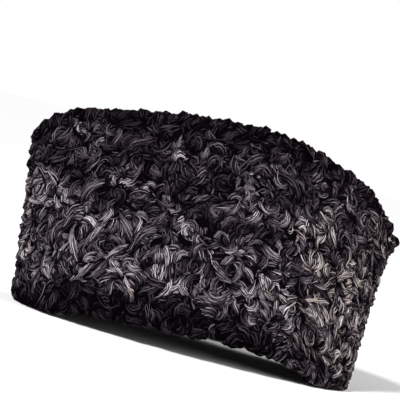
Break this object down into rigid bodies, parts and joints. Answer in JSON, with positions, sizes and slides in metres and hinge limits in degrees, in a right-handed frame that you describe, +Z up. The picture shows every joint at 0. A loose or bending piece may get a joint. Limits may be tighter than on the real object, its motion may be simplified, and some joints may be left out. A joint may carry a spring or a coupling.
{
  "type": "karakul cap",
  "caption": "Peaked, fold-flat lambskin cap of tight black-grey curls: side panels joined at front and back seams, with a crown folded down between their ridges. Worn on the head.",
  "frame": {"origin": "On the floor below the middle of the cap's length and width, as it stands on its rim.", "axes": "+X towards the back of the head along the cap's length, -X towards the forehead, -Y the wearer's left, +Z up."},
  "size_m": [0.2366, 0.1751, 0.1447],
  "materials": {
    "karakul_fur": "glossy roll curls, black with grey lights",
    "crown_fur": "flatter, darker roll curls"
  },
  "bodies": {
    "root": {"side_panel_left": "karakul_fur", "side_panel_right": "karakul_fur", "crown_insert": "crown_fur"}
  },
  "joints": []
}
